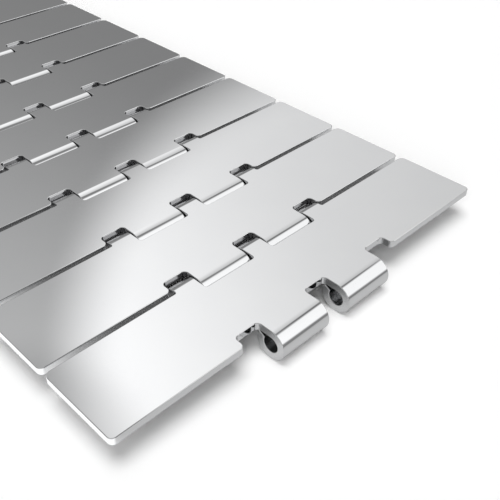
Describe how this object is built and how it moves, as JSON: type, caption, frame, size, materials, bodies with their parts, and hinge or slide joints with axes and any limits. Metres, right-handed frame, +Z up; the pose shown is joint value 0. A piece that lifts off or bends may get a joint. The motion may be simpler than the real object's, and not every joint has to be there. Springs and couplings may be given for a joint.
{
  "type": "slat top chain",
  "caption": "Length of steel slat top chain: flat stamped slats with rolled eyes, joined by hinge pins, carrying goods on their flat tops round a conveyor's sprockets.",
  "frame": {"origin": "middle of the chain length, on the surface that it lies on", "axes": "+X across the chain, +Y along it from the free front eyes to the pinned rear end, +Z up out of the slats' carrying face"},
  "size_m": [0.1906, 0.3938, 0.0129],
  "materials": {
    "slat_steel": "bright rolled stainless steel",
    "pin_steel": "ground stainless steel"
  },
  "bodies": {
    "link_01": {"slat_01": "slat_steel", "hinge_pin_01": "pin_steel"},
    "link_02": {"slat_02": "slat_steel", "hinge_pin_02": "pin_steel"},
    "link_03": {"slat_03": "slat_steel", "hinge_pin_03": "pin_steel"},
    "link_04": {"slat_04": "slat_steel", "hinge_pin_04": "pin_steel"},
    "link_05": {"slat_05": "slat_steel", "hinge_pin_05": "pin_steel"},
    "link_06": {"slat_06": "slat_steel", "hinge_pin_06": "pin_steel"},
    "link_07": {"slat_07": "slat_steel", "hinge_pin_07": "pin_steel"},
    "link_08": {"slat_08": "slat_steel", "hinge_pin_08": "pin_steel"},
    "link_09": {"slat_09": "slat_steel", "hinge_pin_09": "pin_steel"},
    "link_10": {"slat_10": "slat_steel", "hinge_pin_10": "pin_steel"}
  },
  "joints": [
    {"name": "hinge_01", "type": "hinge", "parent": "link_01", "child": "link_02", "pos_m": [0, -0.1524, 0.00645], "axis": [1, 0, 0], "range_deg": [-34.29, 14.6]},
    {"name": "hinge_02", "type": "hinge", "parent": "link_02", "child": "link_03", "pos_m": [0, -0.1143, 0.00645], "axis": [1, 0, 0], "range_deg": [-34.29, 14.6]},
    {"name": "hinge_03", "type": "hinge", "parent": "link_03", "child": "link_04", "pos_m": [0, -0.0762, 0.00645], "axis": [1, 0, 0], "range_deg": [-34.29, 14.6]},
    {"name": "hinge_04", "type": "hinge", "parent": "link_04", "child": "link_05", "pos_m": [0, -0.0381, 0.00645], "axis": [1, 0, 0], "range_deg": [-34.29, 14.6]},
    {"name": "hinge_05", "type": "hinge", "parent": "link_05", "child": "link_06", "pos_m": [0, 0, 0.00645], "axis": [1, 0, 0], "range_deg": [-34.29, 14.6]},
    {"name": "hinge_06", "type": "hinge", "parent": "link_06", "child": "link_07", "pos_m": [0, 0.0381, 0.00645], "axis": [1, 0, 0], "range_deg": [-34.29, 14.6]},
    {"name": "hinge_07", "type": "hinge", "parent": "link_07", "child": "link_08", "pos_m": [0, 0.0762, 0.00645], "axis": [1, 0, 0], "range_deg": [-34.29, 14.6]},
    {"name": "hinge_08", "type": "hinge", "parent": "link_08", "child": "link_09", "pos_m": [0, 0.1143, 0.00645], "axis": [1, 0, 0], "range_deg": [-34.29, 14.6]},
    {"name": "hinge_09", "type": "hinge", "parent": "link_09", "child": "link_10", "pos_m": [0, 0.1524, 0.00645], "axis": [1, 0, 0], "range_deg": [-34.29, 14.6]}
  ]
}
